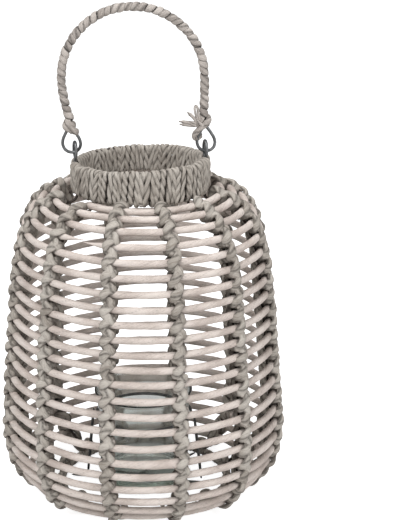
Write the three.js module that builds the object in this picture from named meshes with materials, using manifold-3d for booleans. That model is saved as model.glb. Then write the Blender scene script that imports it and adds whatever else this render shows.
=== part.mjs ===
// A hanging candle lantern: a round body of paper rope tied to wire ribs, an open neck bound with
// cord, a swinging cord-bound handle, and a glass for the candle that stands in a wire holder.
// Sizes are millimetres. +Z is up, the front is -Y, and z = 0 is the surface the lantern stands on.
// An azimuth is measured from the front (-Y) towards +X, in turns or degrees as its name says.

import * as THREE from 'three';
import { mergeVertices } from 'three/addons/utils/BufferGeometryUtils.js';
import Module from 'manifold-3d';

const wasm = await Module();
wasm.setup();

// ---- Driving dimensions -------------------------------------------------------------------------

const GAP = 0.3;

const ROPE_RADIUS = 3.5;
const ROPE_PITCH = 14.9;
const ROPE_START_DEG = -45;
const ROPE_STEPS_PER_TURN = 24;
const ROPE_ENDS_IN_STEPS = [0, 73, 156, 240, 326, 412, 480, 544];

const RIB_COUNT = 12;
const RIB_WIRE_RADIUS = 1.5;
const LASHING_WIDTH = 12;
const LASHING_THICKNESS = 4.6;
const LASHING_LENGTH = 341;

const NECK_RADIUS = 64;
const NECK_WALL = 10;
const NECK_BINDING = 2.5;
const NECK_BOTTOM = 318;
const NECK_TOP = 350;
const NECK_HOOP_RADIUS = 2;

const BASE_RADIUS = 86;
const BASE_BINDING = 4.7;
const BASE_HOOP_RADIUS = 2;

const GLASS_BOTTOM = 7;
const GLASS_TOP = 105;
const GLASS_WALL = 2.4;
const GLASS_FLOOR = 9;
const GLASS_FOOT_RADIUS = 44;
const GLASS_WAIST_RADIUS = 47;
const GLASS_RIM_RADIUS = 50;

const HOLDER_WIRE_RADIUS = 1.5;
const HOLDER_HOOP_Z = 78;
const HOLDER_FOOT_RADIUS = 60;
const HOLDER_AZIMUTHS_DEG = [-100, -45];

const HANDLE_WIRE_RADIUS = 1.5;
const HANDLE_BINDING_RADIUS = 4.1;
const HANDLE_KNOT_RADIUS = 6;
const ARCH_RADIUS = 69;
const ARCH_CENTRE_Z = 429;
const ARCH_LEAN = -6;
const EYE_LEAN = -1;
const PIVOT_Z = 355;
const HOOK_X = 63.6;
const HOOK_WIRE_RADIUS = 1.5;
const HOOK_TOP_Z = 366;
const HOOK_TWIST_DEG = 14;
const EYE_X = 65.5;
const EYE_HEIGHT = 27;

// The body's outline, where the rope's middle runs: radius and height, from the neck to the base.
const BODY_OUTLINE = [
  [74, 317], [91, 311.5], [105.5, 299.5], [115.5, 281.5], [122.3, 256], [128.3, 203],
  [133.4, 140], [137, 95], [136.5, 62], [130, 38], [115.5, 18.5], [96, 6],
];

// The rope is laid by hand, so its turns are not quite even. These are [turn, slip] pairs for the
// front and the back of the body: how far down the outline a turn has slipped, in turns.
const FRONT_SLIP = [[0, 0], [1, -0.1], [8, -0.1], [12, -0.2], [15, 0], [17, 0.1], [20, 0], [23, 0]];
const BACK_SLIP = [[0, 0], [7, -1.1], [12.5, -0.4], [17, 0.5], [23, 0]];

const LATHE_SEGMENTS = 24;
const RIB_STEPS = 18;
const WIRE_SIDES = 6;
const HIDDEN_WIRE_SIDES = 4;

// ---- Materials ----------------------------------------------------------------------------------

const ropePaper = () => new THREE.MeshStandardMaterial({ color: 0xded5cb, roughness: 0.9 });
const cordPaper = () => new THREE.MeshStandardMaterial({ color: 0xb3aba0, roughness: 0.95 });
const ribIron = () => new THREE.MeshStandardMaterial({ color: 0x5f5650, roughness: 0.7, metalness: 0.6 });
const greySteel = () => new THREE.MeshStandardMaterial({ color: 0x707173, roughness: 0.4, metalness: 0.9 });
const darkSteel = () => new THREE.MeshStandardMaterial({ color: 0x3c3c3c, roughness: 0.5, metalness: 0.8 });
const clearGlass = () => new THREE.MeshStandardMaterial({
  color: 0xdfeae4,
  roughness: 0.05,
  transparent: true,
  opacity: 0.35,
});

// ---- Shape helpers ------------------------------------------------------------------------------

const radians = THREE.MathUtils.degToRad;

// A regular polygon with its flats facing along the section's second axis.
function polygonShape(radius, sides) {
  const corners = [];
  for (let i = 0; i < sides; i += 1) {
    const angle = (2 * Math.PI * i) / sides;
    corners.push(new THREE.Vector2(radius * Math.cos(angle), radius * Math.sin(angle)));
  }
  return new THREE.Shape(corners);
}

function sweep(curve, section, steps) {
  return new THREE.ExtrudeGeometry(section, { steps, bevelEnabled: false, extrudePath: curve });
}

function wire(curve, radius, steps, sides = WIRE_SIDES) {
  return sweep(curve, polygonShape(radius, sides), steps);
}

// A smooth curve whose sweep has one section at each of its points.
class BentCurve extends THREE.CatmullRomCurve3 {
  constructor(points) {
    super(points, false, 'centripetal');
  }

  getUtoTmapping(u) {
    return u;
  }

  get steps() {
    return this.points.length - 1;
  }
}

// A closed outline of [radius, height] points, turned about the Z axis.
function turned(outline) {
  const points = outline.map(([r, z]) => new THREE.Vector2(r, z));
  return new THREE.LatheGeometry(points, LATHE_SEGMENTS).rotateX(Math.PI / 2);
}

function closed(outline) {
  return [...outline, outline[0]];
}

function ring(radius, height, wireRadius) {
  const outline = [];
  for (let i = 0; i < WIRE_SIDES; i += 1) {
    const angle = (2 * Math.PI * (i + 0.5)) / WIRE_SIDES;
    outline.push([radius + wireRadius * Math.cos(angle), height + wireRadius * Math.sin(angle)]);
  }
  return turned(closed(outline));
}

function toSolid(geometry) {
  const bare = geometry.clone();
  bare.deleteAttribute('normal');
  bare.deleteAttribute('uv');
  const merged = mergeVertices(bare);
  return new wasm.Manifold(new wasm.Mesh({
    numProp: 3,
    vertProperties: new Float32Array(merged.attributes.position.array),
    triVerts: new Uint32Array(merged.index.array),
  }));
}

function fromSolid(solid) {
  const mesh = solid.getMesh();
  const geometry = new THREE.BufferGeometry();
  geometry.setAttribute('position', new THREE.BufferAttribute(mesh.vertProperties, 3));
  geometry.setIndex(new THREE.BufferAttribute(mesh.triVerts, 1));
  geometry.computeVertexNormals();
  return geometry;
}

const lantern = new THREE.Group();

function add(name, geometry, material) {
  const mesh = new THREE.Mesh(geometry, material);
  mesh.name = name;
  lantern.add(mesh);
  return mesh;
}

function numbered(stem, index) {
  return `${stem}_${String(index + 1).padStart(2, '0')}`;
}

// ---- Body outline -------------------------------------------------------------------------------

const outlineCurve = new THREE.CatmullRomCurve3(
  BODY_OUTLINE.map(([r, z]) => new THREE.Vector3(r, 0, z)),
  false,
  'centripetal',
);
outlineCurve.arcLengthDivisions = 1200;
const OUTLINE_LENGTH = outlineCurve.getLength();

// The outline point at a length along it, moved out square to the body by an offset.
function outlineAt(length, offset = 0) {
  const u = THREE.MathUtils.clamp(length / OUTLINE_LENGTH, 0, 1);
  const point = outlineCurve.getPointAt(u);
  const along = outlineCurve.getTangentAt(u);
  return new THREE.Vector3(point.x - along.z * offset, 0, point.z + along.x * offset);
}

// ---- Rope ---------------------------------------------------------------------------------------

function valueAt(pairs, at) {
  const next = Math.max(1, pairs.findIndex(([place]) => place >= at));
  const [[startPlace, start], [endPlace, end]] = [pairs[next - 1], pairs[next]];
  return THREE.MathUtils.mapLinear(at, startPlace, endPlace, start, end);
}

// The slip changes from the front's to the back's round the sides of the body.
function slipAt(turn, azimuth) {
  const share = THREE.MathUtils.smoothstep(-Math.cos(azimuth), -0.3, 0.9);
  return THREE.MathUtils.lerp(valueAt(FRONT_SLIP, turn), valueAt(BACK_SLIP, turn), share);
}

// One length of the rope that winds down round the body. Its vertices fall on the ribs.
class RopeSpiral extends THREE.Curve {
  constructor(startTurn, endTurn) {
    super();
    this.startTurn = startTurn;
    this.endTurn = endTurn;
  }

  getUtoTmapping(u) {
    return u;
  }

  getPoint(t) {
    const turn = THREE.MathUtils.lerp(this.startTurn, this.endTurn, t);
    const azimuth = radians(ROPE_START_DEG) + 2 * Math.PI * turn;
    const place = outlineAt((turn + slipAt(turn, azimuth)) * ROPE_PITCH);
    return new THREE.Vector3(place.x * Math.sin(azimuth), -place.x * Math.cos(azimuth), place.z);
  }
}

function addRopes() {
  const trim = GAP / (2 * Math.PI * BODY_OUTLINE[0][0]);
  for (let i = 0; i < ROPE_ENDS_IN_STEPS.length - 1; i += 1) {
    const first = ROPE_ENDS_IN_STEPS[i];
    const last = ROPE_ENDS_IN_STEPS[i + 1];
    const curve = new RopeSpiral(first / ROPE_STEPS_PER_TURN + trim, last / ROPE_STEPS_PER_TURN - trim);
    const geometry = sweep(curve, polygonShape(ROPE_RADIUS, WIRE_SIDES), last - first);
    add(numbered('rope', i), geometry, ropePaper());
  }
}

// ---- Ribs and their lashings --------------------------------------------------------------------

// A rib hangs from the neck's lower hoop, follows the inside of the rope and ends at the base hoop.
function ribCurve() {
  const inset = -(ROPE_RADIUS + GAP + RIB_WIRE_RADIUS);
  const hoopBottom = NECK_BOTTOM + NECK_HOOP_RADIUS;
  const points = [
    new THREE.Vector3(NECK_RADIUS, 0, hoopBottom - GAP),
    new THREE.Vector3(NECK_RADIUS, 0, NECK_BOTTOM - 1.5),
    new THREE.Vector3(NECK_RADIUS + 1.5, 0, NECK_BOTTOM - 5),
    new THREE.Vector3(NECK_RADIUS + 6, 0, NECK_BOTTOM - 8),
  ];
  const first = 10;
  const last = OUTLINE_LENGTH - 4;
  for (let i = 0; i <= RIB_STEPS; i += 1) {
    points.push(outlineAt(THREE.MathUtils.lerp(first, last, i / RIB_STEPS), inset));
  }
  const reach = (BASE_HOOP_RADIUS + 2 * GAP) * Math.SQRT1_2;
  points.push(new THREE.Vector3(BASE_RADIUS + reach, 0, BASE_BINDING + reach));
  return new BentCurve(points);
}

function lashingCurve() {
  const offset = ROPE_RADIUS + 3.5 * GAP + LASHING_THICKNESS / 2;
  const points = [];
  for (let i = 0; i <= RIB_STEPS; i += 1) {
    points.push(outlineAt((LASHING_LENGTH * i) / RIB_STEPS, offset));
  }
  return new BentCurve(points);
}

function lashingShape() {
  const halfWidth = LASHING_WIDTH / 2;
  const halfThickness = LASHING_THICKNESS / 2;
  return new THREE.Shape([
    new THREE.Vector2(-halfWidth, -halfThickness),
    new THREE.Vector2(halfWidth, -halfThickness),
    new THREE.Vector2(halfWidth, halfThickness),
    new THREE.Vector2(-halfWidth, halfThickness),
  ]);
}

function addRibs() {
  const ribPath = ribCurve();
  const lashingPath = lashingCurve();
  const rib = wire(ribPath, RIB_WIRE_RADIUS, ribPath.steps, HIDDEN_WIRE_SIDES);
  const lashing = sweep(lashingPath, lashingShape(), lashingPath.steps);
  for (let i = 0; i < RIB_COUNT; i += 1) {
    // A rib drawn at +X is a quarter turn from the front, so the ribs stand half a step off the front.
    const turn = (2 * Math.PI * (i + 0.5)) / RIB_COUNT;
    add(numbered('rib_wire', i), rib, ribIron()).rotation.z = turn;
    add(numbered('rib_lashing', i), lashing, cordPaper()).rotation.z = turn;
  }
}

// ---- Neck ---------------------------------------------------------------------------------------

// The cord binding covers both hoops: an inner and an outer face that meet over the rim.
function neckBindingOutline() {
  const outer = NECK_RADIUS + NECK_WALL / 2;
  const inner = NECK_RADIUS - NECK_WALL / 2;
  const shoulder = NECK_TOP - 5;
  return closed([
    [outer, NECK_BOTTOM],
    [outer, shoulder],
    [outer - 2, NECK_TOP - 1.4],
    [NECK_RADIUS, NECK_TOP],
    [inner + 2, NECK_TOP - 1.4],
    [inner, shoulder],
    [inner, NECK_BOTTOM],
    [inner + NECK_BINDING, NECK_BOTTOM],
    [inner + NECK_BINDING, shoulder],
    [outer - NECK_BINDING, shoulder],
    [outer - NECK_BINDING, NECK_BOTTOM],
  ]);
}

function addNeck() {
  const slotSize = [2 * (HOOK_WIRE_RADIUS + GAP), 13, 12];
  let binding = toSolid(turned(neckBindingOutline()));
  for (const side of [-1, 1]) {
    const slot = new THREE.BoxGeometry(...slotSize).translate(side * HOOK_X, 0, NECK_TOP);
    binding = binding.subtract(toSolid(slot));
  }
  add('neck_binding', fromSolid(binding), cordPaper());
  const hoopInset = NECK_HOOP_RADIUS + 2 * GAP;
  add('neck_hoop_upper', ring(NECK_RADIUS, NECK_TOP - 5 - hoopInset, NECK_HOOP_RADIUS), ribIron());
  add('neck_hoop_lower', ring(NECK_RADIUS, NECK_BOTTOM + 2 * NECK_HOOP_RADIUS, NECK_HOOP_RADIUS), ribIron());
}

// ---- Hooks --------------------------------------------------------------------------------------

// A hook is one wire bent into a narrow eye, with both legs held between the neck's two faces.
function hookCurve(side) {
  const legs = [
    [1.85, 344.9], [1.85, 347], [2.8, 349.3], [5.1, 352.5], [5.6, 356.5], [5, 361], [3, 364.5],
  ];
  const place = (width, z) => {
    const twist = radians(HOOK_TWIST_DEG) * THREE.MathUtils.smoothstep(z, NECK_TOP - 2, PIVOT_Z);
    return new THREE.Vector3(side * HOOK_X - width * Math.sin(twist), width * Math.cos(twist), z);
  };
  const up = legs.map(([width, z]) => place(-width, z));
  const down = legs.map(([width, z]) => place(width, z)).reverse();
  return new BentCurve([...up, place(0, HOOK_TOP_Z), ...down]);
}

function addHooks() {
  const left = hookCurve(-1);
  const right = hookCurve(1);
  add('hook_left', wire(left, HOOK_WIRE_RADIUS, left.steps), greySteel());
  add('hook_right', wire(right, HOOK_WIRE_RADIUS, right.steps), greySteel());
}

// ---- Handle -------------------------------------------------------------------------------------

const ARCH_FOOT_Z = PIVOT_Z + EYE_HEIGHT;
const ARCH_FOOT_X = EYE_X - 1;

// Points of the arch from one foot to the other; side runs from -1 at the left to 1 at the right.
function archPoints() {
  const points = [];
  const legCount = 4;
  const arcCount = 14;
  for (let i = 0; i < legCount; i += 1) {
    const t = i / legCount;
    const bulge = THREE.MathUtils.lerp(ARCH_FOOT_X, ARCH_RADIUS, Math.sin((t * Math.PI) / 2));
    const height = THREE.MathUtils.lerp(ARCH_FOOT_Z + 4, ARCH_CENTRE_Z, t);
    points.push([-bulge, height]);
  }
  for (let i = 0; i <= arcCount; i += 1) {
    const angle = Math.PI * (1 - i / arcCount);
    points.push([ARCH_RADIUS * Math.cos(angle), ARCH_CENTRE_Z + ARCH_RADIUS * Math.sin(angle)]);
  }
  for (let i = legCount - 1; i >= 0; i -= 1) {
    points.push([-points[i][0], points[i][1]]);
  }
  return points.map(([x, z]) => new THREE.Vector3(x + leanAt(z), 0, z));
}

// The handle stands a little to the left, more so the higher it gets.
function leanAt(z) {
  return THREE.MathUtils.lerp(EYE_LEAN, ARCH_LEAN, THREE.MathUtils.smoothstep(z, PIVOT_Z, ARCH_CENTRE_Z));
}

// The wire's end turns back on itself in a drop-shaped eye, from the arch's foot round to its tip.
function eyePoints(side) {
  const pairing = HANDLE_WIRE_RADIUS + GAP;
  const outerSide = [
    [pairing, EYE_HEIGHT], [pairing, EYE_HEIGHT - 3], [4.6, 20.2], [8.2, 13.6], [9, 8.6], [7.6, 4], [4.4, 1],
  ];
  const innerSide = outerSide.map(([out, up]) => [-out, up]).reverse();
  const drop = [...outerSide, [0, 0], ...innerSide];
  return drop.map(([out, up]) => {
    const z = PIVOT_Z + up;
    return new THREE.Vector3(side * (EYE_X + out) + leanAt(z), 0, z);
  });
}

function addHandle() {
  const arch = archPoints();
  const left = eyePoints(-1).reverse();
  const right = eyePoints(1);
  const wireCurve = new BentCurve([...left, ...arch, ...right]);
  add('handle_wire', wire(wireCurve, HANDLE_WIRE_RADIUS, wireCurve.steps), greySteel());

  const archCurve = new BentCurve(arch);
  const section = polygonShape(HANDLE_BINDING_RADIUS, WIRE_SIDES);
  const bindingBore = polygonShape(HANDLE_WIRE_RADIUS + 2 * GAP, WIRE_SIDES);
  section.holes.push(new THREE.Path(bindingBore.getPoints()));
  add('handle_binding', sweep(archCurve, section, archCurve.steps), cordPaper());

  const bore = 2 * HANDLE_WIRE_RADIUS + 2 * GAP;
  const halfHeight = 3;
  const middle = (bore + HANDLE_KNOT_RADIUS) / 2;
  const knot = turned(closed([
    [bore, -halfHeight * 0.6], [middle, -halfHeight], [HANDLE_KNOT_RADIUS, -halfHeight * 0.5],
    [HANDLE_KNOT_RADIUS, halfHeight * 0.5], [middle, halfHeight], [bore, halfHeight * 0.6],
  ]));
  const knotZ = ARCH_FOOT_Z - halfHeight + 2;
  const knotLean = leanAt(knotZ);
  add('handle_knot_left', knot, cordPaper()).position.set(-EYE_X + knotLean, 0, knotZ);
  add('handle_knot_right', knot, cordPaper()).position.set(EYE_X + knotLean, 0, knotZ);
}

// ---- Glass and its holder -----------------------------------------------------------------------

function addGlass() {
  const flareZ = GLASS_TOP - 12;
  add('candle_glass', turned([
    [0, GLASS_BOTTOM],
    [GLASS_FOOT_RADIUS - 2.5, GLASS_BOTTOM],
    [GLASS_FOOT_RADIUS, GLASS_BOTTOM + 2.5],
    [GLASS_WAIST_RADIUS, flareZ],
    [GLASS_RIM_RADIUS, GLASS_TOP - 1],
    [GLASS_RIM_RADIUS - 0.7, GLASS_TOP],
    [GLASS_RIM_RADIUS - GLASS_WALL, GLASS_TOP - 0.6],
    [GLASS_WAIST_RADIUS - GLASS_WALL, flareZ],
    [GLASS_FOOT_RADIUS - GLASS_WALL, GLASS_BOTTOM + GLASS_FLOOR + 2],
    [GLASS_FOOT_RADIUS - GLASS_WALL - 3, GLASS_BOTTOM + GLASS_FLOOR],
    [0, GLASS_BOTTOM + GLASS_FLOOR],
  ]), clearGlass());
}

// A straight wire from one [radius, height] to another, drawn at a quarter turn from the front.
function straightWire(from, to) {
  const ends = [from, to].map(([r, z]) => new THREE.Vector3(r, 0, z));
  const line = new THREE.LineCurve3(...ends);
  return wire(line, HOLDER_WIRE_RADIUS, 1);
}

function addHolder() {
  const hoopRadius = GLASS_WAIST_RADIUS + 2;
  add('holder_hoop', ring(hoopRadius, HOLDER_HOOP_Z, HOLDER_WIRE_RADIUS), darkSteel());
  const crossEnd = BASE_RADIUS - BASE_BINDING - 6 * GAP;
  const spacing = 2 * HOLDER_WIRE_RADIUS + GAP;
  HOLDER_AZIMUTHS_DEG.forEach((azimuth, level) => {
    const turn = radians(azimuth - 90);
    const crossZ = HOLDER_WIRE_RADIUS + GAP + level * spacing;
    const cross = straightWire([-crossEnd, crossZ], [crossEnd, crossZ]);
    add(`base_cross_${level + 1}`, cross, darkSteel()).rotation.z = turn;
    const foot = [HOLDER_FOOT_RADIUS, crossZ + spacing + GAP];
    const head = [hoopRadius + spacing, HOLDER_HOOP_Z + 2];
    [0, Math.PI].forEach((half, side) => {
      const name = `holder_leg_${2 * level + side + 1}`;
      add(name, straightWire(foot, head), darkSteel()).rotation.z = turn + half;
    });
  });
}

// ---- Base ---------------------------------------------------------------------------------------

// The base ring is a hoop in a cord binding, which is open to the ribs at its upper outer corner.
function addBase() {
  const outerCorner = BASE_BINDING / Math.cos(radians(22.5));
  const innerCorner = BASE_HOOP_RADIUS + 2 * GAP;
  const corner = (radius, degrees) => [
    BASE_RADIUS + radius * Math.cos(radians(degrees)),
    BASE_BINDING + radius * Math.sin(radians(degrees)),
  ];
  const outside = [67.5, 112.5, 157.5, 202.5, 247.5, 292.5, 337.5, 382.5];
  const inside = [337.5, 292.5, 247.5, 202.5, 157.5, 112.5];
  const outline = [
    ...outside.map((degrees) => corner(outerCorner, degrees)),
    ...inside.map((degrees) => corner(innerCorner, degrees)),
  ];
  add('base_binding', turned(closed(outline)), cordPaper());
  add('base_hoop', ring(BASE_RADIUS, BASE_BINDING, BASE_HOOP_RADIUS), ribIron());
}

addRopes();
addRibs();
addNeck();
addHooks();
addHandle();
addGlass();
addHolder();
addBase();

export default lantern;
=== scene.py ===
# The looks of a candle lantern woven from paper rope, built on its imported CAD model. Lengths are in metres.
# An azimuth is measured from the front (-Y) towards +X, in turns.
import bpy
import math
import numpy as np
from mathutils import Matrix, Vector


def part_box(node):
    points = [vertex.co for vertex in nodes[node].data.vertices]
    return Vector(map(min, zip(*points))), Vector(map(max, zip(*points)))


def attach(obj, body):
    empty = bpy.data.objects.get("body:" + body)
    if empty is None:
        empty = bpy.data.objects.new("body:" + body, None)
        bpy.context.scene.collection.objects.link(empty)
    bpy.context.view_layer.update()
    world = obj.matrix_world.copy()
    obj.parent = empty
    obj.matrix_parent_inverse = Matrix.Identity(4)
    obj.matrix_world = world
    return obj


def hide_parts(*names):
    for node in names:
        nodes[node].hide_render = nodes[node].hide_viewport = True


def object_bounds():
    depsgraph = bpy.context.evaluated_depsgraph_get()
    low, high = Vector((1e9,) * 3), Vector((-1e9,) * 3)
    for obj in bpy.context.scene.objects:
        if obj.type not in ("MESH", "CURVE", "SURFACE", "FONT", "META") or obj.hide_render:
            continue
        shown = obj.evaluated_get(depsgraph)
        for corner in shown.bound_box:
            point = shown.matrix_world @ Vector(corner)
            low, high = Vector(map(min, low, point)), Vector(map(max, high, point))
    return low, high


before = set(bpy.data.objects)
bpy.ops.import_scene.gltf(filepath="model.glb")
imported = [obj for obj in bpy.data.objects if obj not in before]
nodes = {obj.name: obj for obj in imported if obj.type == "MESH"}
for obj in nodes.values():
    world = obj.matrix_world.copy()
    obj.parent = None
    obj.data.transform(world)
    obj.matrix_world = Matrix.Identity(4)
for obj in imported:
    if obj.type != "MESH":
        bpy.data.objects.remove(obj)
cad_low, cad_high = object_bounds()

MM = 0.001
TURN = 2 * math.pi
FRONT = np.array([0.0, -1.0, 0.0])
UP = np.array([0.0, 0.0, 1.0])

# ---- Sizes taken from the frame -----------------------------------------------------------------

# The CAD rope has this many sections in one turn round the body.
STEPS_PER_TURN = 24


def node_points(name):
    points = np.array([v.co for v in nodes[name].data.vertices], float)
    return np.unique(points.round(6), axis=0)


def named(prefix):
    return sorted(name for name in nodes if name.startswith(prefix))


def azimuth_of(point):
    return math.atan2(point[0], -point[1]) / TURN


def read_rope(names):
    """The rope's middle line from its CAD lengths: the azimuth it starts at, [radius, height] at
    every step, and the steps where one length ends and the next begins."""
    clouds = [node_points(name) for name in names]
    owner = np.repeat(np.arange(len(clouds)), [len(cloud) for cloud in clouds])
    points = np.vstack(clouds)
    places = np.column_stack([np.hypot(points[:, 0], points[:, 1]), points[:, 2]])
    turns = np.arctan2(points[:, 0], -points[:, 1]) / TURN
    first = places[:, 0].argmin()
    guess = places[first]
    # How far a point may be from a section's azimuth, in turns, and from the middle of its coil. The
    # first guess is on the rope's skin, so it reaches further than the later ones.
    same_section = 0.006
    same_coil = 8 * MM
    line = []
    ends = []
    for step in range(len(points)):
        off = np.abs((turns - turns[first] - step / STEPS_PER_TURN + 0.5) % 1 - 0.5)
        near = np.linalg.norm(places - guess, axis=1)
        found = (off < same_section) & (near < same_coil)
        if not found.any():
            break
        if len(set(owner[found])) > 1:
            ends.append(step)
        line.append(places[found].mean(axis=0))
        # The next section lies on along the line's slope; its neighbours are little more than a reach away.
        guess = 2 * line[-1] - line[max(step - 1, 0)]
        same_coil = 6.5 * MM
    reach = np.linalg.norm(places[first] - line[0])
    return turns[first], np.array(line), [0, *ends, len(line) - 1], reach


ROPE_NAMES = named("rope_")
LASHING_NAMES = named("rib_lashing_")
RIB_AZIMUTHS = [azimuth_of(sum(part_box(name), Vector()) / 2) for name in LASHING_NAMES]
ROPE_START, rope_line, ROPE_ENDS, ROPE_RADIUS = read_rope(ROPE_NAMES)
ROPE_TURNS = (len(rope_line) - 1) / STEPS_PER_TURN
ROPE_PITCH = np.linalg.norm(rope_line[STEPS_PER_TURN:] - rope_line[:-STEPS_PER_TURN], axis=1).mean()

neck_low, neck_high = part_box("neck_binding")
base_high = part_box("base_binding")[1]
glass_low, glass_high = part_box("candle_glass")
hoop_low, hoop_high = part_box("neck_hoop_upper")
NECK_RADIUS = hoop_high.x - (hoop_high.z - hoop_low.z) / 2
BASE_TUBE = base_high.z / 2
BASE_RADIUS = base_high.x - BASE_TUBE


def outline(turn):
    """[radius, height] of the rope's middle line after a number of turns."""
    steps = np.arange(len(rope_line))
    at = np.asarray(turn) * STEPS_PER_TURN
    return np.stack([np.interp(at, steps, rope_line[:, i]) for i in range(2)], axis=-1)


# ---- Paths --------------------------------------------------------------------------------------


def unit(vectors):
    return vectors / np.linalg.norm(vectors, axis=-1, keepdims=True)


def ripple(seed, place, wavelength, amount):
    """A smooth seeded wander along a line, near 0 on average."""
    rng = np.random.default_rng(seed)
    total = 0
    for share in (1.0, 0.61, 0.37, 0.23):
        total = total + share * np.sin(TURN * (place / (wavelength * share) + rng.random()))
    return amount * total / 1.3


def smooth_path(points, per_span):
    """A Catmull-Rom path through the points."""
    points = np.asarray(points, float)
    padded = np.vstack([2 * points[0] - points[1], points, 2 * points[-1] - points[-2]])
    before, start, end, after = padded[:-3], padded[1:-2], padded[2:-1], padded[3:]
    u = (np.arange(per_span) / per_span)[None, :, None]
    before, start, end, after = (part[:, None, :] for part in (before, start, end, after))
    bend = 2 * before - 5 * start + 4 * end - after
    turn_back = 3 * (start - end) + after - before
    path = start + 0.5 * u * ((end - before) + u * (bend + u * turn_back))
    return np.vstack([path.reshape(-1, points.shape[1]), points[-1:]])


def polar(turn, radius, height):
    angle = np.asarray(turn) * TURN
    return np.stack([radius * np.sin(angle), -radius * np.cos(angle), height + 0 * angle], axis=-1)


def sideways(turn):
    """The direction to the right, seen from outside the body."""
    angle = np.asarray(turn) * TURN
    return np.stack([np.cos(angle), np.sin(angle), 0 * angle], axis=-1)


# ---- Meshes -------------------------------------------------------------------------------------


def paint(obj, material):
    obj.data.materials.clear()
    obj.data.materials.append(material)


def dress(obj, material, body, replaced):
    """Paints a new piece and puts it in place of the CAD nodes it replaces."""
    paint(obj, material)
    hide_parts(*replaced)
    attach(obj, body)


def add_mesh(name, points, faces, smooth=True):
    mesh = bpy.data.meshes.new(name)
    mesh.from_pydata(points.tolist(), [], faces)
    mesh.update()
    mesh.polygons.foreach_set("use_smooth", [smooth] * len(mesh.polygons))
    obj = bpy.data.objects.new(name, mesh)
    bpy.context.scene.collection.objects.link(obj)
    return obj


# How fast the painted shade line along a flat cord's edge fades, as a power.
EDGE_FADE = 6


class Strand:
    """A round or flat strand along a path: rings of points and the numbers its material reads.
    width and depth are half sizes, and depth is measured along facing."""

    def __init__(self, path, facing, width, depth, sides, pitch, plies, groove, tone,
                 edge=0.0, phase=0.0, painted_deep_shade=0.0):
        count = len(path)
        along = unit(np.gradient(path, axis=0))
        front = unit(facing - (facing * along).sum(axis=1, keepdims=True) * along)
        side = np.cross(along, front)
        steps = np.linalg.norm(np.diff(path, axis=0), axis=1)
        length = np.concatenate([[0], np.cumsum(steps)])
        phi = (np.arange(sides) / sides * TURN)[None, :]
        spun = phi - (TURN * length / pitch + phase)[:, None]
        crest = np.abs(np.cos(spun * plies / 2))
        swell = (groove * crest + np.sqrt(1 - groove ** 2 * (1 - crest ** 2))) / (1 + 0.5 * groove)
        width = np.broadcast_to(width, (count,))[:, None]
        depth = np.broadcast_to(depth, (count,))[:, None]
        out = (depth * np.cos(phi) * swell)[..., None] * front[:, None, :]
        over = (width * np.sin(phi) * swell)[..., None] * side[:, None, :]
        rings = path[:, None, :] + out + over
        self.points = rings.reshape(-1, 3)
        self.faces = strand_faces(count, sides)
        gone = np.broadcast_to(length[:, None] / MM, spun.shape)
        self.grain = np.stack([np.cos(spun), np.sin(spun), gone], axis=-1).reshape(-1, 3)
        # Shade is painted into the colour here: in the grooves between plies, in a line along each edge, and
        # the deep shade given by the caller.
        painted_deep_shade = np.broadcast_to(painted_deep_shade, (count,))[:, None]
        edge_line = edge * np.abs(np.sin(phi)) ** EDGE_FADE
        self.painted_shade = np.maximum(np.maximum(1 - crest, edge_line), painted_deep_shade).reshape(-1)
        self.tone = np.broadcast_to(np.reshape(tone, (-1, 1)), spun.shape).reshape(-1)


def strand_faces(count, sides):
    """Faces that join the rings, with one flat face over each end."""
    first = (np.arange(count - 1) * sides)[:, None]
    here = np.arange(sides)[None, :]
    following = (here + 1) % sides
    corners = [first + here, first + following, first + sides + following, first + sides + here]
    faces = np.stack(corners, axis=-1).reshape(-1, 4).tolist()
    faces.append(list(range(sides))[::-1])
    faces.append([(count - 1) * sides + i for i in range(sides)])
    return faces


def add_strands(name, strands, material, body, replaced):
    """One piece made of one or more strands, with the point values that its material reads."""
    faces = []
    start = 0
    for strand in strands:
        faces.extend([start + i for i in face] for face in strand.faces)
        start += len(strand.points)
    obj = add_mesh(name, np.vstack([strand.points for strand in strands]), faces)
    grain = obj.data.attributes.new("grain", "FLOAT_VECTOR", "POINT")
    grain.data.foreach_set("vector", np.vstack([strand.grain for strand in strands]).ravel())
    for label in ("painted_shade", "tone"):
        values = np.concatenate([getattr(strand, label) for strand in strands])
        obj.data.attributes.new(label, "FLOAT", "POINT").data.foreach_set("value", values)
    dress(obj, material, body, replaced)


# ---- Materials ----------------------------------------------------------------------------------


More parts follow.
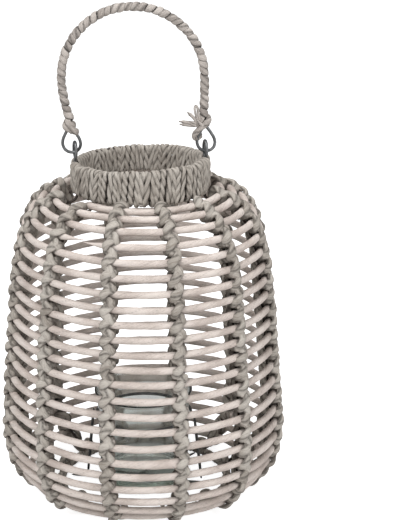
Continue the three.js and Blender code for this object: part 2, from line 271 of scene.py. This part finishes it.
class Nodes:
    """Short names for building a material's nodes."""

    def __init__(self, name):
        self.material = bpy.data.materials.new(name)
        self.material.use_nodes = True
        self.tree = self.material.node_tree
        self.shader = self.tree.nodes["Principled BSDF"]

    def add(self, kind, **settings):
        node = self.tree.nodes.new(kind)
        for key, value in settings.items():
            setattr(node, key, value)
        return node

    def link(self, source, target):
        self.tree.links.new(source, target)

    def value(self, source, target):
        if isinstance(source, (int, float)):
            target.default_value = source
        else:
            self.link(source, target)

    def math(self, operation, first, second=0.0, clamp=False):
        node = self.add("ShaderNodeMath", operation=operation, use_clamp=clamp)
        self.value(first, node.inputs[0])
        self.value(second, node.inputs[1])
        return node.outputs[0]

    def attribute(self, label):
        node = self.add("ShaderNodeAttribute", attribute_name=label)
        return node.outputs["Vector"] if label == "grain" else node.outputs["Fac"]

    def noise(self, vector, scale, stretch=(1, 1, 1), detail=3.0):
        mapping = self.add("ShaderNodeMapping")
        mapping.inputs["Scale"].default_value = stretch
        self.link(vector, mapping.inputs["Vector"])
        node = self.add("ShaderNodeTexNoise")
        node.inputs["Scale"].default_value = scale
        node.inputs["Detail"].default_value = detail
        self.link(mapping.outputs["Vector"], node.inputs["Vector"])
        return node.outputs["Fac"]

    def ramp(self, factor, stops):
        node = self.add("ShaderNodeValToRGB")
        elements = node.color_ramp.elements
        while len(elements) < len(stops):
            elements.new(0.5)
        for element, (position, colour) in zip(elements, stops):
            element.position = position
            element.color = (*colour, 1)
        self.link(factor, node.inputs["Fac"])
        return node.outputs["Color"]

    def mix(self, factor, first, second):
        node = self.add("ShaderNodeMix", data_type="RGBA")
        self.value(factor, node.inputs["Factor"])
        for source, target in ((first, node.inputs["A"]), (second, node.inputs["B"])):
            if isinstance(source, tuple):
                target.default_value = (*source, 1)
            else:
                self.link(source, target)
        return node.outputs["Result"]

    def bump(self, height, strength, distance):
        node = self.add("ShaderNodeBump")
        node.inputs["Strength"].default_value = strength
        node.inputs["Distance"].default_value = distance
        self.link(height, node.inputs["Height"])
        self.link(node.outputs["Normal"], self.shader.inputs["Normal"])

    def object_place(self):
        return self.add("ShaderNodeTexCoord").outputs["Object"]


def paper_material(name, dark, middle, pale, streak, crease_shade, crease_power, bump):
    """Twisted paper: long fibres in the grain, blotches, fine splits, painted shade in the creases and dark
    flecks.
    """
    m = Nodes(name)
    grain = m.attribute("grain")
    place = m.object_place()
    fibre = m.noise(grain, streak, stretch=(1, 1, 0.05), detail=5.0)
    hair = m.noise(grain, streak * 3.2, stretch=(1, 1, 0.07), detail=4.0)
    blotch = m.noise(place, 45.0)
    fleck = m.noise(place, 260.0, stretch=(1, 1, 2), detail=2.0)
    tone = m.math("SUBTRACT", m.attribute("tone"), 0.5)
    shade = m.math("ADD", m.math("MULTIPLY", fibre, 0.5), m.math("MULTIPLY", hair, 0.25))
    shade = m.math("ADD", shade, m.math("MULTIPLY", blotch, 0.25))
    shade = m.math("ADD", shade, m.math("MULTIPLY", tone, 0.3))
    colour = m.ramp(shade, [(0.37, dark), (0.5, middle), (0.63, pale)])
    split = m.math("MULTIPLY", m.math("SUBTRACT", 0.41, hair), 9.0, clamp=True)
    colour = m.mix(m.math("MULTIPLY", split, crease_shade * 0.5), colour, tuple(0.4 * c for c in dark))
    # Shade painted into the colour: grooves, cord edges and shaded places darken towards a quarter of the
    # dark colour.
    painted_shade = m.math("POWER", m.attribute("painted_shade"), crease_power)
    painted_shade = m.math("MULTIPLY", painted_shade, crease_shade, clamp=True)
    colour = m.mix(painted_shade, colour, tuple(0.25 * c for c in dark))
    spots = m.math("MULTIPLY", m.math("GREATER_THAN", fleck, 0.69), 0.35)
    colour = m.mix(spots, colour, tuple(0.6 * c for c in dark))
    m.link(colour, m.shader.inputs["Base Color"])
    rough = m.math("ADD", m.math("MULTIPLY", hair, 0.2), 0.76)
    m.link(rough, m.shader.inputs["Roughness"])
    m.shader.inputs["Specular IOR Level"].default_value = 0.25
    height = m.math("ADD", m.math("MULTIPLY", fibre, 0.6), m.math("MULTIPLY", hair, 0.4))
    m.bump(height, bump, 0.6 * MM)
    return m.material


def wire_material(name, colour, worn, roughness, metallic):
    """Drawn wire: brushed lines, dull patches and a slightly uneven face."""
    m = Nodes(name)
    place = m.object_place()
    patch = m.noise(place, 90.0, detail=5.0)
    line = m.noise(place, 900.0, stretch=(1, 1, 0.2))
    mixed = m.math("ADD", m.math("MULTIPLY", patch, 0.7), m.math("MULTIPLY", line, 0.3))
    m.link(m.ramp(mixed, [(0.35, colour), (0.65, worn)]), m.shader.inputs["Base Color"])
    m.link(m.math("ADD", m.math("MULTIPLY", mixed, 0.3), roughness - 0.15), m.shader.inputs["Roughness"])
    m.shader.inputs["Metallic"].default_value = metallic
    m.bump(mixed, 0.25, 0.15 * MM)
    return m.material


def glass_material(name):
    """Clear glass with a faint smear, and a green tint where it is thick."""
    m = Nodes(name)
    place = m.object_place()
    smear = m.noise(place, 28.0, stretch=(1, 1, 0.4), detail=4.0)
    clear = [(0.3, (0.93, 0.97, 0.95)), (0.7, (0.98, 1.0, 0.99))]
    m.link(m.ramp(smear, clear), m.shader.inputs["Base Color"])
    m.link(m.math("MULTIPLY", smear, 0.16), m.shader.inputs["Roughness"])
    m.shader.inputs["Transmission Weight"].default_value = 1.0
    m.shader.inputs["IOR"].default_value = 1.46
    m.bump(smear, 0.12, 0.8 * MM)
    tint = m.add("ShaderNodeVolumeAbsorption")
    tint.inputs["Color"].default_value = (0.72, 0.93, 0.80, 1)
    tint.inputs["Density"].default_value = 10.0
    m.link(tint.outputs["Volume"], m.tree.nodes["Material Output"].inputs["Volume"])
    return m.material


rope_paper = paper_material(
    "rope_paper", (0.55, 0.475, 0.43), (0.685, 0.605, 0.555), (0.75, 0.675, 0.625),
    streak=4.5, crease_shade=0.5, crease_power=5.0, bump=0.5)
cord_paper = paper_material(
    "cord_paper", (0.31, 0.275, 0.24), (0.455, 0.415, 0.37), (0.56, 0.52, 0.47),
    streak=2.6, crease_shade=1.0, crease_power=2.6, bump=0.9)
handle_paper = paper_material(
    "handle_paper", (0.32, 0.285, 0.26), (0.47, 0.425, 0.39), (0.58, 0.53, 0.49),
    streak=2.6, crease_shade=1.0, crease_power=2.6, bump=0.9)
rib_iron = wire_material(
    "rib_iron_dull", (0.05, 0.04, 0.035), (0.11, 0.09, 0.08), roughness=0.7, metallic=0.6)
grey_steel = wire_material(
    "grey_steel_drawn", (0.13, 0.135, 0.14), (0.26, 0.265, 0.27), roughness=0.45, metallic=0.85)
dark_wire = wire_material(
    "dark_wire_paint", (0.06, 0.06, 0.06), (0.14, 0.14, 0.138), roughness=0.5, metallic=0.4)
candle_glass = glass_material("candle_glass_clear")

# ---- Rope ---------------------------------------------------------------------------------------

ROPE_RINGS_PER_TURN = 250
ROPE_SIDES = 18
ROPE_TWIST_PITCH = -54 * MM
# One length ends in a cut slant between two ribs, and one in a swollen round end at a rib. These are
# those lengths' numbers, from the top down, and the sizes of their ends.
SLANT_END = 0
SLANT_LENGTH = 26 * MM
SLANT_LIFT = 2.2 * MM
SLANT_TIP = 0.18
SWOLLEN_END = 4
SWOLLEN_RADIUS = 5 * MM
SWELLING_LENGTH = 60 * MM
# The shade painted on the rope under a lashing is full this far to each side of its rib, and gone at twice as
# far.
SHADE_REACH = 4 * MM


def rope_middle(turn):
    """The rope's middle line, with the small wander of hand-laid rope."""
    place = outline(turn)
    radius = place[..., 0] + ripple(11, turn, 0.31, 0.4 * MM)
    height = place[..., 1] + ripple(12, turn, 0.27, 0.45 * MM)
    return polar(ROPE_START + turn, radius, height)


def add_rope(index):
    first = ROPE_ENDS[index] / STEPS_PER_TURN
    last = ROPE_ENDS[index + 1] / STEPS_PER_TURN
    turn = np.linspace(first, last, int((last - first) * ROPE_RINGS_PER_TURN))
    path = rope_middle(turn)
    steps = np.linalg.norm(np.diff(path, axis=0), axis=1)
    length = np.concatenate([[0], np.cumsum(steps)])
    radius = ROPE_RADIUS * (1 + ripple(20 + index, length, 37 * MM, 0.035))
    to_end = length[-1] - length
    if index == SWOLLEN_END:
        radius = radius + (SWOLLEN_RADIUS - ROPE_RADIUS) * np.clip(1 - to_end / SWELLING_LENGTH, 0, 1)
    for gap, slant in ((length, index == SLANT_END + 1), (to_end, index == SLANT_END)):
        taper = SLANT_LENGTH if slant else ROPE_RADIUS
        share = np.clip(gap / taper, 0, 1)
        radius = radius * np.clip(share if slant else np.sqrt(share * (2 - share)), SLANT_TIP, 1)
    if index == SLANT_END:
        path = path + np.clip(1 - to_end / SLANT_LENGTH, 0, 1)[:, None] * SLANT_LIFT * UP
    facing = polar(ROPE_START + turn, 1.0, 0.0)
    tone = 0.5 + ripple(40 + index, length, 90 * MM, 0.35)
    # Under the lashings, deep shade is painted into the rope's colour.
    to_rib = np.min([np.abs((ROPE_START + turn - rib + 0.5) % 1 - 0.5) for rib in RIB_AZIMUTHS], axis=0)
    painted_deep_shade = np.clip(2 - to_rib * TURN * outline(turn)[:, 0] / SHADE_REACH, 0, 1)
    strand = Strand(path, facing, radius, radius, ROPE_SIDES, ROPE_TWIST_PITCH, plies=3, groove=0.05,
                    tone=tone, painted_deep_shade=painted_deep_shade)
    add_strands(f"paper_rope_{index + 1:02d}", [strand], rope_paper, "lantern_body",
                [ROPE_NAMES[index]])


# ---- Rib lashings -------------------------------------------------------------------------------

FLAT_CORD_SIDES = 14
# One hitch round a crossing: [across to the right, down the rib, out from the rope's middle] in mm.
HITCH = np.array([
    (-5.0, 4.5, 0.5), (-2.8, 1.0, 5.8), (0.8, -3.2, 5.6), (3.6, -6.3, 2.5), (4.2, -6.8, -2.5),
    (1.5, -5.0, -7.5), (-1.5, -1.0, -8.5), (-1.5, 3.5, -7.0), (-3.0, 5.5, -2.5), (-1.8, 5.0, 3.4),
    (0.8, 6.2, 4.6), (3.6, 9.2, 4.2), (5.4, 11.0, 0.5), (4.5, 11.5, -4.0), (0.0, 13.0, -8.2),
    (-4.0, 15.5, -7.5), (-5.8, 18.0, -3.5),
])
HITCH_WIDTH = 4.0 * MM
HITCH_DEPTH = 2.5 * MM
HITCH_PLY_PITCH = 34 * MM
HITCH_STEPS = 6
# How far the points of a hitch stray, in mm, and the cord's width inside and outside the body.
HITCH_JITTER = 0.45
HITCH_WIDTHS = [0.85, 1.12]
# The cord's middle stays this far above the floor.
HITCH_LOWEST = 1.25 * HITCH_WIDTH
RIB_WIRE_DEPTH = -2 * MM


def rib_line(crossings):
    """The outline down one rib, as turns and [radius, height] where the rope crosses it. It goes on
    past both ends: in towards the neck, and to the top of the base ring."""
    places = outline(crossings)
    neck_side = 2 * places[0] - places[1]
    base_top = np.array([[BASE_RADIUS + 4 * MM, base_high.z], [BASE_RADIUS, base_high.z]])
    turns = np.concatenate([[crossings[0] - 1], crossings, crossings[-1] + np.array([0.7, 1.2])])
    return turns, np.vstack([neck_side, places, base_top])


def body_place(rib, turn, azimuth, across, out):
    """A point beside a rib's outline: across to the right, and out square to the body."""
    def on_rib(at):
        return np.column_stack([np.interp(at, rib[0], rib[1][:, i]) for i in range(2)])

    place = on_rib(turn)
    down = unit(on_rib(turn + 0.25) - on_rib(turn - 0.25))
    normal = np.stack([-down[:, 1], down[:, 0]], axis=-1)
    place = place + out[:, None] * normal
    return polar(azimuth, place[:, 0], place[:, 1]) + across[:, None] * sideways(azimuth)


def add_lashing(index):
    azimuth = RIB_AZIMUTHS[index]
    rng = np.random.default_rng(300 + index)
    first = (azimuth - ROPE_START) % 1
    crossings = np.arange(first, ROPE_TURNS, 1)
    rib = rib_line(crossings)
    knots = []
    shades = []
    for crossing in crossings:
        jitter = rng.normal(0, HITCH_JITTER, HITCH.shape)
        size = rng.normal(1, 0.05)
        hitch = (HITCH + jitter) * MM * [size, 1, 1]
        knots.append(np.column_stack([crossing + hitch[:, 1] / ROPE_PITCH, hitch[:, 0], hitch[:, 2]]))
        shades.append(np.full(len(HITCH), rng.uniform(0.2, 0.8)))
    line = smooth_path(np.vstack(knots), HITCH_STEPS)
    shade_at = np.arange(len(line)) / HITCH_STEPS
    shade = np.interp(shade_at, np.arange(len(knots) * len(HITCH)), np.concatenate(shades))
    where = np.full(len(line), azimuth)
    path = body_place(rib, line[:, 0], where, line[:, 1], line[:, 2])
    core = body_place(rib, line[:, 0], where, 0 * line[:, 1], np.full(len(line), RIB_WIRE_DEPTH))
    path[:, 2] = np.maximum(path[:, 2], HITCH_LOWEST)
    place = np.arange(len(path)) * MM
    width = HITCH_WIDTH * (1 + ripple(500 + index, place, 23 * MM, 0.07))
    width = width * np.interp(line[:, 2], [-4 * MM, 3 * MM], HITCH_WIDTHS)
    # Shade is painted into the cord's colour, darkest where it dives between its own loops.
    painted_deep_shade = np.interp(line[:, 2] / MM, [-7, -3, 0, 2.5, 4.5], [0.3, 0.7, 0.95, 0.35, 0])
    strand = Strand(path, path - core, width, HITCH_DEPTH, FLAT_CORD_SIDES, HITCH_PLY_PITCH, plies=2,
                    groove=0.14, tone=shade, edge=1.0, painted_deep_shade=painted_deep_shade)
    add_strands(f"cord_lashing_{index + 1:02d}", [strand], cord_paper, "lantern_body",
                [LASHING_NAMES[index]])


# ---- Neck and base bindings ---------------------------------------------------------------------

NECK_WINDINGS = 80
NECK_RINGS = 64
NECK_LOOP_HALF = 3.1 * MM
NECK_CORD_WIDTH = 2.6 * MM
NECK_CORD_DEPTH = 1.85 * MM
PLY_PITCH = 20 * MM
# What a winding's twist can lose: nothing, a little, or enough to turn the other way.
NECK_UNTWIST = [0.0, 0.35, 1.7, 2.1]
NECK_TONES = (-0.2, 0.2)
NECK_WIDTHS = (0.84, 1.08)
# The rim is uneven: it rises most at the front, and a little on the right.
RIM_DROP = 0.7 * MM
RIM_RISE_FRONT = 3.7 * MM
RIM_RISE_RIGHT = 2 * MM
# The cord stays this far from a hook's middle, and is crowded together out to HOOK_SQUEEZE.
HOOK_AZIMUTHS = (0.25, 0.75)
HOOK_GAP = 6 * MM
HOOK_SQUEEZE = 18 * MM


def stadium(phase, half_width, low, high):
    """Out and up along a loop with straight sides; phase 0 is low on the outside, going up."""
    straight = (high - low) - 2 * half_width
    around = 2 * straight + TURN * half_width
    gone = (phase % 1) * around
    bend = math.pi * half_width
    out = np.empty_like(gone)
    up = np.empty_like(gone)
    top = high - half_width
    bottom = low + half_width
    rising = gone < straight
    over = (gone >= straight) & (gone < straight + bend)
    falling = (gone >= straight + bend) & (gone < 2 * straight + bend)
    under = gone >= 2 * straight + bend
    top = np.broadcast_to(top, gone.shape)
    straight = np.broadcast_to(straight, gone.shape)
    angle = (gone - straight) / half_width
    out[over] = (half_width * np.cos(angle))[over]
    up[over] = (top + half_width * np.sin(angle))[over]
    out[rising] = half_width
    up[rising] = (bottom + gone)[rising]
    out[falling] = -half_width
    up[falling] = (top - (gone - straight - bend))[falling]
    angle = (gone - 2 * straight - bend) / half_width
    out[under] = -(half_width * np.cos(angle))[under]
    up[under] = (bottom - half_width * np.sin(angle))[under]
    return out, up


def add_neck():
    rng = np.random.default_rng(61)
    winding = np.arange(NECK_WINDINGS * NECK_RINGS) / NECK_RINGS
    jitter = rng.normal(0, 0.17, NECK_WINDINGS + 2)
    turn = (winding + np.interp(winding, np.arange(len(jitter)), jitter)) / NECK_WINDINGS
    azimuth = turn * TURN
    rim = neck_high.z - RIM_DROP + RIM_RISE_FRONT * np.cos(azimuth) + RIM_RISE_RIGHT * np.sin(azimuth)
    rim = rim + ripple(62, winding, 9.0, 0.5 * MM)
    low = neck_low.z + NECK_CORD_DEPTH + ripple(63, winding, 7.0, 0.5 * MM)
    out, up = stadium(winding % 1, NECK_LOOP_HALF, low, rim - NECK_CORD_DEPTH)
    # Near the rim the cord makes room for the legs of the two hooks.
    share = np.clip((up - neck_low.z) / (neck_high.z - neck_low.z) * 2.4 - 1.2, 0, 1)
    for hook in HOOK_AZIMUTHS:
        offset = ((turn - hook + 0.5) % 1 - 0.5) * TURN * NECK_RADIUS
        close = np.abs(offset) < HOOK_SQUEEZE
        side = np.where(offset < 0, -1, 1)
        squeezed = side * (HOOK_GAP + np.abs(offset) * (HOOK_SQUEEZE - HOOK_GAP) / HOOK_SQUEEZE)
        moved = np.where(close, squeezed, offset)
        turn = turn + share * (moved - offset) / (TURN * NECK_RADIUS)
    path = polar(turn, NECK_RADIUS + out, up)
    centre = polar(turn, NECK_RADIUS, np.clip(up, low + NECK_LOOP_HALF, rim - 2 * NECK_LOOP_HALF))
    marks = np.arange(len(jitter))
    tone = 0.5 + np.interp(winding, marks, rng.uniform(*NECK_TONES, len(jitter)))
    phase = np.interp(winding, marks, rng.uniform(0, 2 * math.pi, len(jitter)))
    steps = np.linalg.norm(np.diff(path, axis=0), axis=1)
    untwist = rng.choice(NECK_UNTWIST, len(jitter))[winding[1:].astype(int)]
    phase = phase - np.concatenate([[0], np.cumsum(untwist * TURN * steps / PLY_PITCH)])
    width = NECK_CORD_WIDTH * np.interp(winding, marks, rng.uniform(*NECK_WIDTHS, len(jitter)))
    strand = Strand(path, path - centre, width, NECK_CORD_DEPTH, FLAT_CORD_SIDES, PLY_PITCH, plies=2,
                    groove=0.65, tone=tone, edge=0.9, phase=phase)
    add_strands("neck_cord", [strand], cord_paper, "lantern_body", ["neck_binding"])


BASE_WINDINGS = 117
BASE_RINGS = 20
BASE_CORD_WIDTH = 2.4 * MM
BASE_CORD_DEPTH = 1.7 * MM
BASE_CORD_SIDES = 12


def add_base():
    rng = np.random.default_rng(71)
    winding = np.arange(BASE_WINDINGS * BASE_RINGS) / BASE_RINGS
    jitter = rng.normal(0, 0.12, BASE_WINDINGS + 2)
    turn = (winding + np.interp(winding, np.arange(len(jitter)), jitter)) / BASE_WINDINGS
    loop = BASE_TUBE - 1.25 * BASE_CORD_DEPTH
    out = loop * np.cos(winding * TURN)
    up = loop * np.sin(winding * TURN)
    path = polar(turn, BASE_RADIUS + out, BASE_TUBE + up)
    centre = polar(turn, BASE_RADIUS, BASE_TUBE)
    tone = 0.5 + np.interp(winding, np.arange(len(jitter)), rng.uniform(-0.4, 0.4, len(jitter)))
    strand = Strand(path, path - centre, BASE_CORD_WIDTH, BASE_CORD_DEPTH, BASE_CORD_SIDES, PLY_PITCH,
                    plies=2, groove=0.5, tone=tone, edge=0.5)
    add_strands("base_cord", [strand], cord_paper, "lantern_body", ["base_binding"])


# ---- Handle -------------------------------------------------------------------------------------

HANDLE_CORD_WIDTH = 3.5 * MM
HANDLE_CORD_DEPTH = 1.7 * MM
HANDLE_LOOP = 2.8 * MM
HANDLE_RINGS_PER_WRAP = 26
# The least and most of the handle that one wrap takes up, in mm.
HANDLE_WRAP = (5.8, 8.4)
HANDLE_PLY_PITCH = 34 * MM


def read_handle():
    """The middle line of the handle's binding, from its left foot to its right foot."""
    points = list(node_points("handle_binding"))
    same_section = 6 * MM
    sections = []
    while points:
        group = [points.pop()]
        for member in group:
            near = [p for p in points if np.linalg.norm(p - member) < same_section]
            points = [p for p in points if np.linalg.norm(p - member) >= same_section]
            group.extend(near)
        sections.append(np.mean(group, axis=0))
    foot = min((s for s in sections if s[0] < 0), key=lambda s: s[2])
    line = [foot]
    left = [s for s in sections if s is not foot]
    while left:
        nearest = min(range(len(left)), key=lambda i: np.linalg.norm(left[i] - line[-1]))
        line.append(left.pop(nearest))
    return np.array(line)


def add_handle():
    rng = np.random.default_rng(81)
    middle = smooth_path(read_handle(), 40)
    steps = np.linalg.norm(np.diff(middle, axis=0), axis=1)
    length = np.concatenate([[0], np.cumsum(steps)])
    wraps = [0.0]
    while wraps[-1] < length[-1]:
        wraps.append(wraps[-1] + rng.uniform(*HANDLE_WRAP) * MM)
    count = len(wraps) - 1
    winding = np.arange(count * HANDLE_RINGS_PER_WRAP) / HANDLE_RINGS_PER_WRAP
    place = np.interp(winding, np.arange(count + 1), wraps)
    winding = winding[place < length[-1]]
    place = place[place < length[-1]]
    centre = np.column_stack([np.interp(place, length, middle[:, i]) for i in range(3)])
    along = unit(np.gradient(centre, axis=0))
    outward = unit(np.cross(FRONT, along))
    angle = (winding * TURN)[:, None]
    radial = np.cos(angle) * FRONT + np.sin(angle) * outward
    loop = HANDLE_LOOP + ripple(82, winding, 3.1, 0.25 * MM)
    path = centre + loop[:, None] * radial
    tone = 0.5 + ripple(83, winding, 5.0, 0.3)
    width = HANDLE_CORD_WIDTH * (1 + ripple(84, winding, 2.3, 0.1))
    strand = Strand(path, radial, width, HANDLE_CORD_DEPTH, FLAT_CORD_SIDES, HANDLE_PLY_PITCH, plies=2,
                    groove=0.12, tone=tone, edge=1.0)
    add_strands("handle_cord", [strand], handle_paper, "handle", ["handle_binding"])


KNOT_CORD_SIDES = 12
KNOT_PLY_PITCH = 24 * MM
# Each end of a knot's cord narrows to this share over a few rings.
KNOT_TIP = 0.45
KNOT_TIP_RINGS = 5


def add_knot(name, replaced, paths):
    """A tied end: each path is [points in mm from the knot's middle, half width, half depth]."""
    low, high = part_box(replaced)
    centre = np.array((low + high) / 2)
    strands = []
    for number, (points, width, depth) in enumerate(paths):
        path = centre + smooth_path(np.array(points, float) * MM, 10)
        outside = path - centre
        outside[:, 2] *= 0.3
        taper = np.minimum(np.arange(len(path)), np.arange(len(path))[::-1]) / KNOT_TIP_RINGS
        size = np.clip(taper, KNOT_TIP, 1)
        # The small push to the front gives a direction to a point at the knot's very middle.
        strands.append(Strand(path, outside + 1e-5 * FRONT, width * MM * size, depth * MM * size,
                              KNOT_CORD_SIDES, KNOT_PLY_PITCH, plies=2, groove=0.14,
                              tone=0.35 + 0.1 * number))
    add_strands(name, strands, handle_paper, "handle", [replaced])


def add_knots():
    add_knot("knot_left", "handle_knot_left", [
        ([(0, 3.5, 7), (-4, 0, 5.5), (0, -4, 3.5), (4.2, 0, 2), (0, 4.5, 2.5), (-4.8, 1.5, 2.5),
          (-4.8, -3, 0.5), (0, -5, -1.5), (5.6, -3.5, -4), (6.6, 0.5, -5.5), (3, 4.6, -5.5),
          (-3, 4, -5)], 3.3, 2.0),
    ])
    # The right knot sits a little to the back, so that it only grazes the rim when the handle is forward.
    add_knot("knot_right", "handle_knot_right", [
        ([(0, 5.5, 6.5), (4.4, 2, 4.5), (0, -2, 3), (-4.4, 2, 1.5), (0, 6.5, 1), (4.5, 3, -0.5)], 3.2, 1.9),
        ([(0, 6.5, 6.5), (4.2, 4, 7), (3.4, -1.5, 4.8), (-2.5, -2.2, -0.7), (-8, -2, -6.2),
          (-10.5, -1, -9.7), (-9.5, 0, -12.5), (-6, 2, -11.7), (-3, 3.5, -8.7)], 3.3, 2.2),
        ([(-5, -0.5, -0.6), (-9, -2.2, 0.2), (-17, -2.4, 1), (-24.6, -2, 1.8)], 1.7, 1.4),
        ([(-5, -0.5, 1.6), (-9, -2.2, 2.6), (-17, -2.4, 3.8), (-25.2, -2, 4.6)], 1.7, 1.4),
        ([(0, -2, -1.8), (-3.5, -2.7, 1), (-8, -2.8, 5), (-12.5, -2.6, 10), (-17, -2.2, 13.8)], 2.4, 1.6),
        ([(-4, -1, 1), (-8, -1.6, 9), (-9.8, -1.6, 16.5), (-8.8, -1.6, 19.6), (-7, -1.6, 17.5),
          (-5.8, -1.6, 10), (-3.5, -1, 3)], 1.5, 1.2),
    ])


# ---- Glass --------------------------------------------------------------------------------------

GLASS_SEGMENTS = 96
GLASS_WALL = 2.4 * MM
GLASS_FLOOR = 9 * MM
# The foot and the waist, as shares of the rim's radius.
GLASS_FOOT = 0.88
GLASS_WAIST = 0.94


def add_glass():
    """A thick-floored cup with a flared, rounded rim, turned about the upright axis."""
    rim = glass_high.x
    bottom = glass_low.z
    top = glass_high.z
    foot = rim * GLASS_FOOT
    waist = rim * GLASS_WAIST
    wall = GLASS_WALL
    floor = bottom + GLASS_FLOOR
    outline_points = [
        (0.0, bottom + 1.2 * MM), (foot * 0.8, bottom + 1.0 * MM), (foot * 0.9, bottom),
        (foot - 1.2 * MM, bottom + 0.5 * MM), (foot, bottom + 2.6 * MM),
        (foot + 1.2 * MM, bottom + 20 * MM), (waist - 0.4 * MM, top - 30 * MM),
        (waist + 0.2 * MM, top - 15 * MM), (rim - 1.2 * MM, top - 4 * MM),
        (rim, top - 1.1 * MM), (rim - 0.7 * MM, top), (rim - wall + 0.3 * MM, top - 0.6 * MM),
        (rim - wall - 1.4 * MM, top - 5 * MM), (waist - wall + 0.2 * MM, top - 15 * MM),
        (waist - wall - 0.4 * MM, top - 30 * MM), (foot - wall + 1.0 * MM, floor + 14 * MM),
        (foot - wall - 1.0 * MM, floor + 4 * MM), (foot - wall - 6 * MM, floor + 0.6 * MM), (0.0, floor),
    ]
    path = smooth_path(outline_points, 4)
    path[:, 0] = np.maximum(path[:, 0], 0)
    inner = path[1:-1]
    turn = np.arange(GLASS_SEGMENTS) / GLASS_SEGMENTS
    rings = polar(turn[None, :], inner[:, 0][:, None], inner[:, 1][:, None]).reshape(-1, 3)
    poles = np.array([[0, 0, path[0, 1]], [0, 0, path[-1, 1]]])
    faces = strand_faces(len(inner), GLASS_SEGMENTS)[:-2]
    pole = len(rings)
    last = pole - GLASS_SEGMENTS
    for i in range(GLASS_SEGMENTS):
        following = (i + 1) % GLASS_SEGMENTS
        faces.append([following, i, pole])
        faces.append([last + i, last + following, pole + 1])
    glass = add_mesh("glass_cup", np.vstack([rings, poles]), faces)
    dress(glass, candle_glass, "glass", ["candle_glass"])


# ---- Wires --------------------------------------------------------------------------------------


# How far a wire's face is moved out, to make up for what the rounding takes off it.
INNER_WIRE_SWELL = 0.3 * MM
OPEN_WIRE_SWELL = 0.27 * MM


def round_wire(name, material, swell):
    """Keeps a CAD wire and rounds it, swelled by what the rounding takes off."""
    obj = nodes[name]
    obj.modifiers.new("join", "WELD").merge_threshold = 0.01 * MM
    rounding = obj.modifiers.new("round", "SUBSURF")
    rounding.levels = 2
    rounding.render_levels = 2
    fatten = obj.modifiers.new("fatten", "DISPLACE")
    fatten.strength = swell
    fatten.mid_level = 0.0
    obj.data.polygons.foreach_set("use_smooth", [True] * len(obj.data.polygons))
    paint(obj, material)


def add_wires():
    for name in named("rib_wire_"):
        round_wire(name, rib_iron, INNER_WIRE_SWELL)
    for name in ("neck_hoop_upper", "neck_hoop_lower", "base_hoop"):
        round_wire(name, rib_iron, INNER_WIRE_SWELL)
    for name in ("hook_left", "hook_right", "handle_wire"):
        round_wire(name, grey_steel, OPEN_WIRE_SWELL)
    for name in ["holder_hoop", *named("holder_leg_"), *named("base_cross_")]:
        round_wire(name, dark_wire, OPEN_WIRE_SWELL)


for rope_index in range(len(ROPE_NAMES)):
    add_rope(rope_index)
for lashing_index in range(len(LASHING_NAMES)):
    add_lashing(lashing_index)
add_neck()
add_base()
add_handle()
add_knots()
add_glass()
add_wires()

# ---- Studio -------------------------------------------------------------------------------------


FLOOR_HALF = 12.0


def add_floor():
    """A pale floor that glows only to the camera, so that it lights nothing by itself."""
    corners = FLOOR_HALF * np.array([(-1, -1, 0), (1, -1, 0), (1, 1, 0), (-1, 1, 0)])
    floor = add_mesh("floor", corners, [[0, 1, 2, 3]], smooth=False)
    m = Nodes("floor_white")
    m.shader.inputs["Base Color"].default_value = (0.75, 0.75, 0.75, 1)
    m.shader.inputs["Roughness"].default_value = 0.9
    m.shader.inputs["Emission Color"].default_value = (1, 1, 1, 1)
    rays = m.add("ShaderNodeLightPath")
    glow = m.math("MULTIPLY", rays.outputs["Is Camera Ray"], 0.8)
    m.link(glow, m.shader.inputs["Emission Strength"])
    floor.data.materials.append(m.material)


# Each light's place, size and power in watts. All of them face the middle of the lantern.
LIGHTS = {
    "key": ((-0.7, -1.5, 1.9), 1.2, 30),
    "fill": ((1.6, -1.2, 0.9), 1.4, 12),
    "top": ((0, 0.3, 2.4), 1.6, 16),
}


def add_light(name, place, size, power):
    data = bpy.data.lights.new(name, "AREA")
    data.shape = "DISK"
    data.size = size
    data.energy = power
    light = bpy.data.objects.new(name, data)
    light.location = place
    light.rotation_mode = "QUATERNION"
    light.rotation_quaternion = (Vector((0, 0, cad_high.z / 2)) - Vector(place)).to_track_quat("-Z", "Y")
    bpy.context.scene.collection.objects.link(light)


def add_world():
    """White all round: full strength to the camera, softer as a light."""
    world = bpy.data.worlds.new("studio")
    world.use_nodes = True
    tree = world.node_tree
    background = tree.nodes["Background"]
    rays = tree.nodes.new("ShaderNodeLightPath")
    level = tree.nodes.new("ShaderNodeMapRange")
    level.inputs["To Min"].default_value = 0.4
    level.inputs["To Max"].default_value = 1.0
    tree.links.new(rays.outputs["Is Camera Ray"], level.inputs["Value"])
    tree.links.new(level.outputs["Result"], background.inputs["Strength"])
    background.inputs["Color"].default_value = (1, 1, 1, 1)
    bpy.context.scene.world = world


CAMERA_DISTANCE = 1.7
CAMERA_ELEVATION = math.radians(18.8)
CAMERA_YAW = math.radians(2.2)
CAMERA_TARGET_Z = 0.2423
CAMERA_LENS = 117.7


def add_camera():
    data = bpy.data.cameras.new("camera")
    data.lens = CAMERA_LENS
    camera = bpy.data.objects.new("camera", data)
    back = Vector((0, -math.cos(CAMERA_ELEVATION), math.sin(CAMERA_ELEVATION)))
    camera.location = Vector((0, 0, CAMERA_TARGET_Z)) + CAMERA_DISTANCE * back
    look = -back * math.cos(CAMERA_YAW) + Vector((1, 0, 0)) * math.sin(CAMERA_YAW)
    camera.rotation_mode = "QUATERNION"
    camera.rotation_quaternion = look.to_track_quat("-Z", "Y")
    bpy.context.scene.collection.objects.link(camera)
    bpy.context.scene.camera = camera


add_floor()
add_world()
for light_name, (light_place, light_size, light_power) in LIGHTS.items():
    add_light(light_name, light_place, light_size, light_power)
add_camera()
bpy.context.scene.view_settings.view_transform = "Standard"
